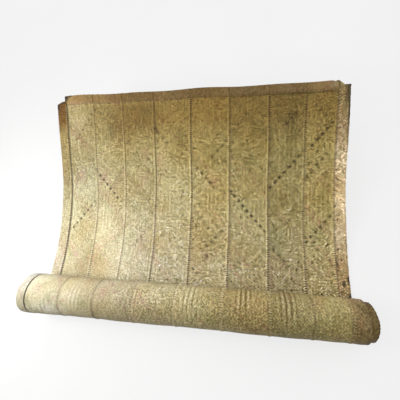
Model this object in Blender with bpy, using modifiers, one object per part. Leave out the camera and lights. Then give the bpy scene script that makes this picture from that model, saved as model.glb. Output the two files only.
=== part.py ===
"""A rolled mat of plaited palm leaf: eight plaited strips sewn edge to edge between two border strips.

One end is still wound up on itself. The other end lies loose from under the roll and curls up off the
floor. Metres, +Z up, +X along the roll, +Y from the roll towards the loose end. The origin is the middle of
the mat's width on the floor, at the line where the outer turn of the roll leaves the floor.
"""

import math

import bmesh
import bpy
from mathutils import Matrix, Vector

# The mat
MAT_WIDTH = 1.0
THICKNESS = 0.0025
GAP = 0.0003

# Widths of the plaited strips from left to right, between the two borders
LEFT_BORDER_WIDTH = 0.038
STRIP_WIDTHS = (0.1135, 0.1148, 0.1171, 0.1311, 0.1302, 0.1255, 0.1090, 0.0869)

# Each strip's right edge laps over the next strip and stands up as a sewn ridge
RIDGE_WIDTH = 0.007
RIDGE_RISE = 0.0018
RIDGE_SHOULDER = 0.0012
BORDER_THICKNESS = 0.004
SEAM_WANDER = 0.0008
WANDER_LENGTH = 0.31
WANDER_PHASE = 1.7

# The path of the loose end along Y and Z: flat, then a wide curl, then straight
FLAT_LENGTH = 0.10
CURL_RADIUS = 0.80
CURL_ANGLE = math.radians(25)
CURL_STEPS = 11
LIP_STEPS = 4

# Lengths along the cloth from the roll's contact line to the loose end
LOOSE_LENGTH = 0.710
LOOSE_SLANT = -0.024
END_WAVE = 0.0012
END_WAVE_LENGTH = 0.23
HEM_WIDTH = 0.031
HEM_THICKNESS = 0.005
HEM_STEP = 0.002
LEFT_BORDER_END = 0.704
LEFT_BORDER_CHIP = 0.009
RIGHT_BORDER_END = 0.685
RIGHT_BORDER_STEP = 0.014

# The raised part of the loose end isn't quite level across the mat
LIFT_WAVE = 0.0018
LIFT_WAVE_LENGTH = 0.43
LIFT_WAVE_PHASE = 0.8
LIFT_START = 0.14
LIFT_GROWTH = 0.45

# The roll: a spiral wound from the outer radius in to the core, a little fatter at its left end
ROLL_RADIUS_LEFT = 0.0645
ROLL_RADIUS_RIGHT = 0.0570
CORE_RADIUS = 0.021
WOUND_LENGTH = 1.45
FLAT_SINK = 0.0012
ROLL_SKEW = 0.0105
SEAM_RISE = 0.0014
SEAM_WIDTH = 0.006
SEAM_SHOULDERS = (0.7, 0.2)
STRIP_CROWN = 0.0008
UNEVEN = 0.0008
UNEVEN_LENGTH = 0.37
TONGUE_LENGTH = 0.020
LAST_TURN = math.radians(340)
TURN_POINTS = 36
CREASE_DEPTH = 0.011
CREASE_HEIGHT = 0.0035

# The inner turns have slid to the right, one row for each step inwards from the outer turn
TELESCOPE = (
    # turns in, slid by
    (1, 0.0144),
    (2, 0.0190),
    (3, 0.0220),
    (4, 0.0238),
)
END_OVERLAP = 0.028
END_SIDES = 36

# Rows of eyelets in the plait: where each starts from the strip's left edge and from the roll's contact line,
# and which way it steps
EYELET_PITCH_X = 0.0139
EYELET_PITCH_Y = 0.0164
EYELET_WIDTH = 0.0046
EYELET_HEIGHT = 0.0062
EYELET_SIDES = 6
EYELET_CUTTER_DEPTH = 0.02
EYELET_ROWS = (
    # strip, start across, start along, step across, step along, count
    (1, 0.035, 0.564, 1, 1, 6),
    (1, 0.016, 0.231, 1, 1, 7),
    (2, 0.0095, 0.432, 1, -1, 6),
    (3, 0.0387, 0.173, 1, 1, 5),
    (5, 0.0215, 0.452, 1, -1, 5),
    (5, 0.0455, 0.169, 1, 1, 5),
    (5, 0.0915, 0.510, 1, 1, 3),
    (6, 0.005, 0.373, 1, -1, 9),
    (7, 0.005, 0.202, 1, -1, 5),
    (7, 0.0068, 0.387, 1, 1, 8),
    (7, 0.0518, 0.588, 1, 1, 3),
    (8, 0.0088, 0.210, 1, 1, 6),
    (8, 0.0228, 0.513, 1, 1, 5),
    (8, 0.0288, 0.640, 1, -1, 3),
)

SHARP_ANGLE = math.radians(35)
MERGE_DISTANCE = 0.00001

# The seams lie at the strips' joins; the right border takes what is left of the width
SEAMS = [-MAT_WIDTH / 2 + LEFT_BORDER_WIDTH]
for strip_width in STRIP_WIDTHS:
    SEAMS.append(SEAMS[-1] + strip_width)


def clear_scene():
    for old in list(bpy.data.objects):
        bpy.data.objects.remove(old, do_unlink=True)


def new_collection(name):
    collection = bpy.data.collections.new(name)
    bpy.context.scene.collection.children.link(collection)
    return collection


def plaited_material(name, colour, roughness):
    material = bpy.data.materials.new(name)
    material.use_nodes = True
    surface = material.node_tree.nodes["Principled BSDF"]
    surface.inputs["Base Color"].default_value = (*colour, 1.0)
    surface.inputs["Roughness"].default_value = roughness
    surface.inputs["Metallic"].default_value = 0.0
    return material


def add_object(name, bm, collection, material=None):
    mesh = bpy.data.meshes.new(name)
    bm.to_mesh(mesh)
    bm.free()
    thing = bpy.data.objects.new(name, mesh)
    collection.objects.link(thing)
    if material:
        mesh.materials.append(material)
    return thing


def add_boolean(thing, cutter, operation):
    cutter.hide_render = True
    cutter.display_type = "WIRE"
    boolean = thing.modifiers.new(cutter.name, "BOOLEAN")
    boolean.object = cutter
    boolean.operation = operation
    boolean.solver = "EXACT"


def path_at(length):
    """The underside of the loose end at this length along the cloth: its Y, Z and slope angle."""
    curl_length = CURL_RADIUS * CURL_ANGLE
    angle = min(max(length - FLAT_LENGTH, 0.0) / CURL_RADIUS, CURL_ANGLE)
    lip = max(length - FLAT_LENGTH - curl_length, 0.0)
    y = min(length, FLAT_LENGTH) + CURL_RADIUS * math.sin(angle) + lip * math.cos(CURL_ANGLE)
    z = CURL_RADIUS * (1 - math.cos(angle)) + lip * math.sin(CURL_ANGLE)
    return y, z, angle


def seam_at(number, length):
    """X of a seam, or of the mat's edge for number -1 and the last, where it wanders along the cloth."""
    if number < 0:
        middle = -MAT_WIDTH / 2
    elif number < len(SEAMS):
        middle = SEAMS[number]
    else:
        middle = MAT_WIDTH / 2
    return middle + SEAM_WANDER * math.sin(math.tau * length / WANDER_LENGTH + WANDER_PHASE * number)


def strip_end(x):
    """Length along the cloth at which the plaited strips end."""
    return LOOSE_LENGTH + LOOSE_SLANT * x + END_WAVE * math.sin(math.tau * x / END_WAVE_LENGTH)


def left_border_end(x):
    across = (x + MAT_WIDTH / 2) / LEFT_BORDER_WIDTH
    return LEFT_BORDER_END - LEFT_BORDER_CHIP * (1 - across)


def right_border_end(x):
    across = (x - SEAMS[-1]) / (MAT_WIDTH / 2 - SEAMS[-1])
    return RIGHT_BORDER_END + RIGHT_BORDER_STEP * max(1 - 2 * across, 0.0)


def lift_at(x, length):
    """How far the raised part stands off its even curve here."""
    grown = min(max((length - LIFT_START) / LIFT_GROWTH, 0.0), 1.0)
    return LIFT_WAVE * grown * math.sin(math.tau * x / LIFT_WAVE_LENGTH + LIFT_WAVE_PHASE)


def fixed_lengths():
    """The stations that every strip has up to its end: the flat, the curl and the straight lip."""
    first = TONGUE_LENGTH + GAP
    curl_end = FLAT_LENGTH + CURL_RADIUS * CURL_ANGLE
    lengths = [first, (first + FLAT_LENGTH) / 2]
    for step in range(CURL_STEPS + 1):
        lengths.append(FLAT_LENGTH + CURL_RADIUS * CURL_ANGLE * step / CURL_STEPS)
    lip_end = RIGHT_BORDER_END - HEM_WIDTH - HEM_STEP
    for step in range(1, LIP_STEPS + 1):
        lengths.append(curl_end + (lip_end - curl_end) * step / LIP_STEPS)
    return lengths


def build_panel(name, number, end_at, thickness, has_hem, ridged, collection, material):
    """One strip of the loose end, between seams number - 1 and number, thickened upwards off its underside.

    A column's place is a share of the strip's width, or metres from its right edge where it is negative.
    """
    columns = [(0.0, thickness), (0.5, thickness), (1.0, thickness)]
    if ridged:
        ridge = thickness + RIDGE_RISE
        columns = [
            (0.0, thickness),
            (0.5, thickness),
            (-RIDGE_WIDTH, thickness),
            (-RIDGE_WIDTH + RIDGE_SHOULDER, ridge),
            (-RIDGE_SHOULDER, ridge),
            (1.0, thickness),
        ]
    lengths = fixed_lengths()
    tail = [(HEM_WIDTH, None), (HEM_WIDTH - HEM_STEP, "hem"), (0.0, "hem")] if has_hem else [(0.0, None)]
    rows = len(lengths) + len(tail)
    thickest = max(HEM_THICKNESS + RIDGE_RISE, thickness + RIDGE_RISE)

    bm = bmesh.new()
    bmesh.ops.create_grid(bm, x_segments=len(columns) - 1, y_segments=rows - 1, size=0.5)
    weights = bm.verts.layers.deform.verify()
    for vert in bm.verts:
        column = round((vert.co.x + 0.5) * (len(columns) - 1))
        row = round((vert.co.y + 0.5) * (rows - 1))
        across, high = columns[column]
        left = seam_at(number - 1, LOOSE_LENGTH)
        right = seam_at(number, LOOSE_LENGTH)
        if row < len(lengths):
            length = lengths[row]
        else:
            before, kind = tail[row - len(lengths)]
            at_end = left + (right - left) * across if across >= 0 else right + across
            length = end_at(at_end) - before
            if kind == "hem":
                high += HEM_THICKNESS - THICKNESS
        left = seam_at(number - 1, length) + (GAP / 2 if number > 0 else 0.0)
        right = seam_at(number, length) - (GAP / 2 if number < len(SEAMS) else 0.0)
        x = left + (right - left) * across if across >= 0 else right + across
        y, z, _ = path_at(length)
        vert.co = Vector((x, y, z + lift_at(x, length)))
        vert[weights][0] = high / thickest

    panel = add_object(name, bm, collection, material)
    panel.vertex_groups.new(name="thickness")
    solidify = panel.modifiers.new("thickness", "SOLIDIFY")
    solidify.thickness = thickest
    solidify.offset = 1.0
    solidify.vertex_group = "thickness"
    panel.data.shade_smooth()
    panel.data.set_sharp_from_angle(angle=SHARP_ANGLE)
    return panel


def build_eyelets(number, collection):
    """Cutters for one strip's eyelets: short upright prisms, taller than wide, square to the cloth."""
    rows = [row[1:] for row in EYELET_ROWS if row[0] == number]
    if not rows:
        return None
    bm = bmesh.new()
    for start_across, start_along, step_across, step_along, count in rows:
        for index in range(count):
            length = start_along + index * step_along * EYELET_PITCH_Y
            x = seam_at(number - 1, length) + start_across + index * step_across * EYELET_PITCH_X
            y, z, angle = path_at(length)
            place = Matrix.Translation((x, y, z + lift_at(x, length))) @ Matrix.Rotation(angle, 4, "X")
            shape = Matrix.Diagonal((EYELET_WIDTH / EYELET_HEIGHT, 1.0, 1.0, 1.0))
            turned = Matrix.Rotation(math.pi / 2, 4, "Z")
            bmesh.ops.create_cone(
                bm,
                cap_ends=True,
                segments=EYELET_SIDES,
                radius1=EYELET_HEIGHT / 2,
                radius2=EYELET_HEIGHT / 2,
                depth=EYELET_CUTTER_DEPTH,
                matrix=place @ shape @ turned,
            )
    return add_object(f"eyelets_{number}", bm, collection)


def roll_radius(x):
    across = x / MAT_WIDTH + 0.5
    return ROLL_RADIUS_LEFT + (ROLL_RADIUS_RIGHT - ROLL_RADIUS_LEFT) * across


def turn_pitch(x):
    """How far apart the turns lie, from the length of cloth that is wound up."""
    return math.pi * (roll_radius(x) ** 2 - CORE_RADIUS**2) / WOUND_LENGTH


def roll_outline(x, rise):
    """The roll's section at x: up the front, over the top and down to the crease, then the tongue."""
    _, middle_y, middle_z = roll_middle(x)
    points = []
    for step in range(TURN_POINTS + 1):
        turn = LAST_TURN * step / TURN_POINTS
        uneven = UNEVEN * math.sin(math.tau * x / UNEVEN_LENGTH + 2 * turn)
        radius = roll_radius(x) + rise + uneven - turn_pitch(x) * turn / math.tau
        y = middle_y - radius * math.sin(turn)
        z = max(middle_z - radius * math.cos(turn), 0.0)
        points.append((x, y, z))
    points.append((x, middle_y + CREASE_DEPTH, CREASE_HEIGHT))
    points.append((x, TONGUE_LENGTH, THICKNESS))
    points.append((x, TONGUE_LENGTH, 0.0))
    return points


def roll_stations():
    """X and rise of each section: a ridge at every seam and a low crown on every strip between."""
    stations = [(-MAT_WIDTH / 2, STRIP_CROWN)]
    for number, seam in enumerate(SEAMS):
        stations.append((seam - SEAM_WIDTH, 0.0))
        for shoulder in SEAM_SHOULDERS:
            stations.append((seam - shoulder * SEAM_WIDTH, SEAM_RISE))
        stations.append((seam, 0.0))
        if number < len(SEAMS) - 1:
            stations.append(((seam + SEAMS[number + 1] - SEAM_WIDTH) / 2, STRIP_CROWN))
    stations.append((MAT_WIDTH / 2, STRIP_CROWN))
    return stations


def build_roll(collection, cutters, material):
    bm = bmesh.new()
    rings = [[bm.verts.new(point) for point in roll_outline(x, rise)] for x, rise in roll_stations()]
    for near, far in zip(rings, rings[1:]):
        for side in range(len(near)):
            bm.faces.new((near[side - 1], near[side], far[side], far[side - 1]))
    bm.faces.new(rings[0])
    bm.faces.new(rings[-1])
    bmesh.ops.recalc_face_normals(bm, faces=bm.faces)
    roll = add_object("roll", bm, collection, material)
    add_boolean(roll, build_turned("slid_turns", MAT_WIDTH / 2, cutters), "UNION")
    add_boolean(roll, build_turned("drawn_in_turns", -MAT_WIDTH / 2, cutters), "DIFFERENCE")
    add_boolean(roll, build_core(cutters), "DIFFERENCE")
    roll.data.shade_smooth()
    roll.data.set_sharp_from_angle(angle=SHARP_ANGLE)
    return roll


def roll_middle(x):
    """The point on the roll's own axis at this X."""
    return Vector((x, ROLL_SKEW * x, roll_radius(x) - FLAT_SINK))


def turned_profile(end):
    """Profile of the slid turns at the end at this X: X and radius, from the inside of the mat outwards."""
    pitch = turn_pitch(end)
    start = end - END_OVERLAP
    profile = [(start, 0.0), (start, roll_radius(end) - TELESCOPE[0][0] * pitch)]
    for turns, slid in TELESCOPE:
        profile.append((end + slid, roll_radius(end) - turns * pitch))
        profile.append((end + slid, roll_radius(end) - (turns + 1) * pitch))
    profile[-1] = (profile[-1][0], 0.0)
    return profile


def build_core(cutters):
    """The open core, right through the roll along its own axis."""
    reach = MAT_WIDTH / 2 + 2 * END_OVERLAP
    start, end = roll_middle(-reach), roll_middle(reach)
    along = end - start
    bm = bmesh.new()
    bmesh.ops.create_cone(
        bm,
        cap_ends=True,
        segments=END_SIDES,
        radius1=CORE_RADIUS,
        radius2=CORE_RADIUS,
        depth=along.length,
        matrix=Matrix.Translation((start + end) / 2) @ along.to_track_quat("Z", "Y").to_matrix().to_4x4(),
    )
    return add_object("core", bm, cutters)


def build_turned(name, end, cutters):
    """The inner turns at one end as a stepped body about the roll's own axis.

    They stand out at the right end. At the left end they have drawn in, so there the body is cut away.
    """
    bm = bmesh.new()
    verts = [bm.verts.new((x, 0.0, radius)) for x, radius in turned_profile(end)]
    ring = [bm.edges.new(pair) for pair in zip(verts, verts[1:])]
    bmesh.ops.spin(
        bm,
        geom=verts + ring,
        cent=(0.0, 0.0, 0.0),
        axis=(1.0, 0.0, 0.0),
        angle=math.tau,
        steps=END_SIDES,
        use_merge=True,
    )
    bmesh.ops.remove_doubles(bm, verts=bm.verts, dist=MERGE_DISTANCE)
    bmesh.ops.recalc_face_normals(bm, faces=bm.faces)
    turned = add_object(name, bm, cutters)
    turned.location = (0.0, *roll_middle(end)[1:])
    return turned


def build_mat():
    parts = new_collection("rolled_raffia_mat")
    cutters = new_collection("cutters")
    leaf = plaited_material("plaited_leaf", (0.52, 0.45, 0.27), 0.72)
    binding = plaited_material("border_leaf", (0.44, 0.34, 0.20), 0.75)
    wound = plaited_material("wound_leaf", (0.47, 0.41, 0.25), 0.72)

    build_roll(parts, cutters, wound)
    build_panel("border_left", 0, left_border_end, BORDER_THICKNESS, False, True, parts, binding)
    for number in range(1, len(STRIP_WIDTHS) + 1):
        panel = build_panel(f"strip_{number}", number, strip_end, THICKNESS, True, True, parts, leaf)
        eyelets = build_eyelets(number, cutters)
        if eyelets:
            add_boolean(panel, eyelets, "DIFFERENCE")
    last = len(SEAMS)
    build_panel("border_right", last, right_border_end, BORDER_THICKNESS, False, False, parts, binding)


clear_scene()
build_mat()
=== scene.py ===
"""Looks of a rolled mat of plaited palm leaf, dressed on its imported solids.

The cloth is one sheet with two coordinates: x across the mat, and length along it from the line where the
roll leaves the floor. Length grows up the loose end and is negative inside the roll. Its front is the face
that is up on the loose end, and its back is the face that is outside on the roll. Metres, +Z up.
"""

import math

import bpy
import numpy as np
from mathutils import Matrix, Vector


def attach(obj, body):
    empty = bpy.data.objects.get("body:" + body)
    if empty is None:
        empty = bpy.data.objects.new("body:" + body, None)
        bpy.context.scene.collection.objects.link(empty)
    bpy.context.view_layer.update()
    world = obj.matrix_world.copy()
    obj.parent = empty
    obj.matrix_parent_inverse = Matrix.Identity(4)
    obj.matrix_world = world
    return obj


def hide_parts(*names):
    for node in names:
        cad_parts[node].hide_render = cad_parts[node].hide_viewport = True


# The mat, as in the solids
MAT_WIDTH = 1.0
THICKNESS = 0.0025
LEFT_BORDER_WIDTH = 0.038
STRIP_WIDTHS = (0.1135, 0.1148, 0.1171, 0.1311, 0.1302, 0.1255, 0.1090, 0.0869)
BORDER_THICKNESS = 0.004
SEAM_WANDER = 0.0008
WANDER_LENGTH = 0.31
WANDER_PHASE = 1.7
FLAT_LENGTH = 0.10
CURL_RADIUS = 0.80
CURL_ANGLE = math.radians(25)
LOOSE_LENGTH = 0.710
LOOSE_SLANT = -0.024
END_WAVE = 0.0012
END_WAVE_LENGTH = 0.23
HEM_WIDTH = 0.031
HEM_THICKNESS = 0.005
HEM_STEP = 0.002
LEFT_BORDER_END = 0.704
LEFT_BORDER_CHIP = 0.009
RIGHT_BORDER_END = 0.685
RIGHT_BORDER_STEP = 0.014
LIFT_WAVE = 0.0018
LIFT_WAVE_LENGTH = 0.43
LIFT_WAVE_PHASE = 0.8
LIFT_START = 0.14
LIFT_GROWTH = 0.45
ROLL_RADIUS_LEFT = 0.0645
ROLL_RADIUS_RIGHT = 0.0570
CORE_RADIUS = 0.021
WOUND_LENGTH = 1.45
FLAT_SINK = 0.0012
ROLL_SKEW = 0.0105
STRIP_CROWN = 0.0008
UNEVEN = 0.0008
UNEVEN_LENGTH = 0.37

# Finer forms: the hem's dropped corner, and how the roll's skew fades and its bulges grow
HEM_CORNER = 0.008
CORNER_START = 0.444
SKEW_FADE = 0.06
SWELL_GROWTH = 0.03
FLOOR_CLEARANCE = 0.0001

# How far the turns have slid to the right along the roll, by turns in from the outside
SLIDE = (
    # turns in, slid by
    (0.9, 0.0),
    (1.16, 0.0144),
    (2.0, 0.019),
    (3.0, 0.022),
    (4.0, 0.0238),
)

# The plait: a crossing of two strands is a diamond two cells wide and two high. A sheet's vertices lie
# half a cell apart
CELL_X = 0.003475
CELL_Y = 0.0041
RELIEF = 0.0009
BACK_RELIEF_SHARE = 0.7
FLOAT_HEIGHT = 0.85
SIDE_HEIGHT = 0.3
GAP_HEIGHT = 0.2
FINE_DEPTH = 0.42
INNER_COARSENESS = 4
INNER_GAP = 0.0003
END_STRETCH = 0.15

# The plait's twill runs in rings about spread centres, warped a little
RING_ACROSS = 18
RING_ALONG = 28
RING_SHIFT = (5, 11)
RING_WARP = 4
WARP_LENGTH = (7.0, 13.0)

# The lapped seams: a strip's right edge rides over the next strip's tucked left edge
LAP = 0.0065
RIDGE_WIDTH = 0.007
RIDGE_RISE = 0.0018
RIDGE_SHOULDER = 0.0018
TUCK_SWELL = 0.0009
TUCK_SLOPE = 0.001
ROLL_TUCK_RISE = (0.0, 0.03)
LOOSE_TUCK_RISE = (0.12, 0.25)
TUCKED_SHARE = 0.65
CLOSED_GROOVE = 0.0018
EDGE_ROUNDING = 0.62
ROUNDING_WIDTH = 0.0028

# Eyelets: rows of pits, one every four cells on the slant, painted dark in and round them: painted shade for
# the shadow under the mat that open eyelets show
EYELET_WIDTH = 0.0050
EYELET_HEIGHT = 0.0064
EYELET_STEP = 8
EYELET_ROUNDING = 0.72
EYELET_SINK = 0.5
EYELET_BACK_SINK = 0.8
EYELET_SHADE_REACH = (1.6, 1.05)
EYELET_SHADE_EDGE = (0.6, 1.7)
EYELET_FADE = 0.25
EYELET_ROWS = (
    # strip, start across, start along, step across, step along, count, darkness of the painted shade
    (1, 0.035, 0.564, 1, 1, 6, 0.55),
    (1, 0.016, 0.231, 1, 1, 7, 0.7),
    (2, 0.0095, 0.432, 1, -1, 6, 1.0),
    (3, 0.0387, 0.173, 1, 1, 5, 0.45),
    (5, 0.0215, 0.452, 1, -1, 5, 0.65),
    (5, 0.0455, 0.169, 1, 1, 5, 0.6),
    (5, 0.0915, 0.51, 1, 1, 3, 0.6),
    (6, 0.005, 0.373, 1, -1, 9, 1.0),
    (7, 0.005, 0.202, 1, -1, 5, 0.7),
    (7, 0.0068, 0.387, 1, 1, 8, 1.0),
    (7, 0.0518, 0.588, 1, 1, 3, 0.55),
    (8, 0.0088, 0.21, 1, 1, 6, 0.8),
    (8, 0.0228, 0.513, 1, 1, 5, 0.9),
    (8, 0.0288, 0.64, 1, -1, 3, 0.45),
)

# How each seam looks, from the left, and where its darkening fades out. The darkening beside each ridge is
# dirt together with painted shade in the lap
SEAM_LOOKS = (
    # darkness in front, darkness behind, share of the ridge's full rise
    (0.88, 0.9, 1.0),
    (0.16, 0.0, 0.3),
    (0.18, 0.0, 0.3),
    (0.56, 0.05, 0.75),
    (0.82, 0.08, 1.0),
    (0.74, 0.08, 1.0),
    (0.86, 0.08, 1.0),
    (0.52, 0.05, 0.75),
    (0.42, 0.1, 0.6),
)
SEAM_DIRT_AND_SHADE = (0.0014, 0.0048)
EDGE_DIRT_AND_SHADE = 0.0010
BEHIND_LEFT_DIRT_AND_SHADE = (0.0004, 0.0016)
BEHIND_OFFSET = 0.0015
BEHIND_DIRT_AND_SHADE = (0.0016, 0.0034)
PALE_SEAM = 0.35
PALE_SEAM_ALONG = (0.50, 0.64)

# The hem's lower edge wavers, and a thin line of painted shade runs along the foot of its step
HEM_WAVER = 0.0016
HEM_WAVER_LENGTH = 0.017
HEM_LINE_SHADE = 0.16
HEM_LINE = (0.0005, 0.0024)
HEM_SMOOTHNESS = 0.8

# The ridge of a seam is paler than the strip: a painted highlight on its raised top
RIDGE_PAINTED_HIGHLIGHT = 0.12
RIDGE_LIGHT = (0.0030, 0.0050)

# Small teeth where the strands turn back at the outer edges, at the loose end and at the frayed corner
EDGE_TOOTH = 0.0016
EDGE_TOOTH_MIDDLE = 0.3
EDGE_TOOTH_BETWEEN = -0.4
END_TOOTH = 0.0016
END_ACROSS = (-0.25, -0.10)
CORNER_TOOTH = 0.0035
CORNER_ACROSS = (-0.475, -0.45)
END_TOOTH_MIDDLE = 0.35

# How much the leaves differ: less at the lower left, where the window's highlight is painted in, near its end
# and on the roll, which is flecked
CONTRAST = 1.45
HIGHLIGHT_ACROSS = (-0.35, 0.05)
HIGHLIGHT_ALONG = (0.05, 0.60)
END_CALM = 0.45
END_CALM_ALONG = (0.48, 0.68)
ROLL_CONTRAST = 0.5
BORDER_CONTRAST = 1.2
ROLL_GRAIN = 1.6
CALM_GRAIN = 0.35
CALM_ACROSS = (0.20, 0.40)

# How the strands differ: each by its own tone, each crossing, slow changes, and single spots
SPLICE_LENGTH = 0.34
STRAND_SPREAD = 0.10
CROSSING_SPREAD = 0.34
NEARBY_SPREAD = 0.07
NEARBY_SIZE = (4.0, 0.19)
SPOT_TONE = 0.12
SPOT_SHARES = (0.02, 0.97)
GREEN_SIZE = (3.0, 0.16)
GREEN_BAND = (0.55, 1.0)
PINK_SIZE = (3.0, 0.14)
PINK_SHIFT = 9
PINK_BAND = (0.72, 0.95)
PATCH_LEAST = 0.5
PATCH_SPREAD = 0.6
MOST_TINGE = 1.3
WALL_LEAF = (0.25, 0.0, 0.0)

# What the leaf's colour is multiplied by: along the cloth, on the roll, across the mat and in the hem
# Along a strip: bluer near the roll, a painted highlight, and brown towards the loose end
STRIP_TINT = (
    # length, red, green, blue
    (0.1, 0.9, 0.91, 1.14),
    (0.36, 0.97, 0.96, 0.97),
    (0.52, 0.82, 0.755, 0.58),
    (0.61, 0.48, 0.375, 0.2),
    (0.67, 0.4, 0.31, 0.16),
    (0.685, 0.56, 0.43, 0.26),
)
# On the roll: darker on its lower front side and darkest underneath, painted shade
ROLL_TONE_AND_SHADE = (
    # length, red, green, blue
    (-0.4, 0.43, 0.395, 0.27),
    (-0.34, 0.82, 0.82, 0.81),
    (-0.24, 0.82, 0.82, 0.81),
    (-0.17, 0.57, 0.56, 0.49),
    (-0.1, 0.47, 0.445, 0.37),
    (0.0, 0.84, 0.84, 0.82),
)
# Across the roll: paler and bluer at its left end, a painted highlight, and darker at its right end, painted
# shade
ROLL_ACROSS_HIGHLIGHT_AND_SHADE = (
    # across the mat, red, green, blue
    (-0.5, 1.18, 1.22, 1.42),
    (-0.25, 1.0, 0.99, 1.02),
    (0.05, 1.08, 1.1, 1.12),
    (0.2, 1.02, 1.0, 0.96),
    (0.33, 0.92, 0.92, 0.82),
    (0.45, 0.96, 0.94, 0.88),
    (0.5, 0.82, 0.78, 0.74),
)
LEFT_BORDER_TINT = (
    # length, red, green, blue
    (-0.1, 0.66, 0.69, 0.62),
    (0.1, 0.72, 0.71, 0.64),
    (0.3, 0.76, 0.74, 0.5),
    (0.45, 0.68, 0.62, 0.34),
    (0.58, 0.6, 0.5, 0.24),
    (0.63, 0.29, 0.16, 0.02),
    (0.71, 0.26, 0.135, 0.02),
)
RIGHT_BORDER_TINT = (
    # length, red, green, blue
    (-0.05, 0.66, 0.6, 0.52),
    (0.08, 1.02, 0.94, 0.92),
    (0.16, 1.12, 1.04, 1.06),
    (0.24, 1.34, 1.28, 1.38),
    (0.32, 1.86, 1.82, 2.1),
    (0.48, 1.78, 1.72, 1.85),
    (0.6, 0.84, 0.74, 0.5),
    (0.66, 0.56, 0.47, 0.3),
)
# Across the mat: paler and bluer on the left, a painted highlight for the window's light washing the leaf out
# there
ACROSS_HIGHLIGHT_TINT = (
    # across the mat, red, green, blue
    (-0.5, 0.98, 1.06, 1.38),
    (-0.2, 1.0, 1.04, 1.24),
    (0.1, 1.0, 0.99, 0.98),
    (0.5, 1.0, 0.96, 0.8),
)
HEM_TINT = (
    # across the mat, red, green, blue
    (-0.46, 0.66, 0.56, 0.48),
    (-0.2, 0.46, 0.42, 0.44),
    (0.05, 0.38, 0.38, 0.46),
    (0.4, 0.57, 0.57, 0.8),
    (0.5, 0.62, 0.64, 0.86),
)
STRIP_SHADES = (0.81, 0.92, 0.94, 1.07, 1.14, 1.01, 0.88, 1.07)
BROWNED_ALONG = (0.35, 0.62)
BROWN_EVENNESS = 0.8
LESS_BROWN = 0.5
LESS_BROWN_TO = (-0.45, -0.20)

# Patches of other leaf
PATCHES = (
    # across, along, reach across, reach along, lighter, greener, pinker
    (-0.156, 0.505, 0.016, 0.022, 0.1, 0.0, 1.0),
    (-0.1, 0.48, 0.016, 0.026, 0.05, 0.0, 1.0),
    (-0.165, 0.175, 0.014, 0.05, 0.05, 0.0, 0.8),
    (-0.413, 0.429, 0.014, 0.02, 0.05, 0.0, 0.9),
    (0.09, 0.4, 0.014, 0.016, 0.0, 0.0, 1.0),
    (0.075, 0.15, 0.008, 0.012, -0.3, 0.0, 0.9),
    (-0.288, 0.58, 0.022, 0.022, -0.05, 1.0, 0.0),
    (-0.025, 0.545, 0.018, 0.04, -0.08, 1.0, 0.0),
    (0.092, 0.495, 0.016, 0.026, -0.08, 1.0, 0.0),
    (0.212, 0.475, 0.014, 0.03, -0.05, 1.0, 0.0),
    (0.258, 0.565, 0.014, 0.02, -0.05, 0.8, 0.0),
    (-0.41, 0.285, 0.012, 0.022, 0.0, 0.8, 0.0),
    (-0.09, 0.275, 0.014, 0.02, 0.0, 0.8, 0.0),
    (0.09, 0.203, 0.016, 0.026, 0.0, 0.9, 0.0),
    (0.197, 0.316, 0.014, 0.022, 0.0, 0.9, 0.0),
    (0.3, 0.215, 0.028, 0.05, 0.0, 1.0, 0.0),
    (0.412, 0.225, 0.02, 0.026, 0.0, 1.0, 0.0),
    (0.471, 0.296, 0.01, 0.026, 0.0, 0.8, 0.0),
    (0.337, 0.555, 0.014, 0.09, -0.12, 0.6, 0.0),
    (0.322, 0.63, 0.045, 0.05, -0.1, 0.0, 0.0),
    (0.455, 0.692, 0.018, 0.012, 0.45, 0.9, 0.0),
    (0.444, 0.669, 0.012, 0.006, -0.1, 0.0, 1.0),
    (-0.345, 0.664, 0.006, 0.005, -0.3, 0.0, 0.9),
    (-0.425, 0.69, 0.03, 0.014, 0.15, 0.0, 0.9),
    (-0.42, 0.6, 0.04, 0.06, 0.3, 0.0, 0.3),
    (-0.38, 0.09, 0.09, 0.08, -0.14, 0.3, 0.3),
    (-0.4, -0.15, 0.08, 0.03, 0.3, 0.0, 0.0),
    (-0.43, -0.21, 0.014, 0.014, 0.0, 0.0, 0.8),
    (-0.211, -0.211, 0.018, 0.02, 0.0, 0.0, 0.9),
    (-0.1, -0.19, 0.016, 0.016, 0.0, 0.0, 0.8),
    (-0.27, -0.18, 0.018, 0.02, 0.0, 0.9, 0.0),
    (-0.06, -0.165, 0.018, 0.02, 0.0, 0.9, 0.0),
    (0.311, -0.24, 0.016, 0.03, -0.05, 0.0, 0.8),
    (0.488, -0.205, 0.01, 0.016, -0.15, 1.0, 0.0),
    (0.476, -0.17, 0.008, 0.02, 0.05, 0.0, 1.0),
    (0.503, -0.185, 0.005, 0.04, -0.3, 0.5, 0.0),
    (0.42, -0.17, 0.02, 0.02, -0.05, 0.8, 0.0),
    (0.38, -0.215, 0.016, 0.02, 0.0, 0.0, 0.8),
    (0.15, -0.16, 0.04, 0.014, -0.05, 0.7, 0.0),
)

# Ribs in the plait: lighter and darker leaves by turns
RIB_PITCH = 0.0130
RIB_CALM = 0.5
RIBS = (
    # across, along, reach across, reach along, strength
    (0.055, -0.205, 0.03, 0.05, 0.24),
    (0.198, -0.222, 0.024, 0.04, 0.36),
    (0.313, -0.21, 0.024, 0.05, 0.38),
    (-0.3, -0.19, 0.024, 0.04, 0.14),
    (-0.125, -0.2, 0.03, 0.05, 0.14),
    (0.333, 0.47, 0.03, 0.1, 0.16),
    (0.23, 0.3, 0.022, 0.06, 0.12),
    (-0.065, 0.34, 0.026, 0.07, 0.12),
    (-0.31, 0.3, 0.026, 0.08, 0.12),
    (0.085, 0.33, 0.026, 0.05, 0.12),
    (0.43, 0.33, 0.026, 0.06, 0.12),
)
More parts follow.
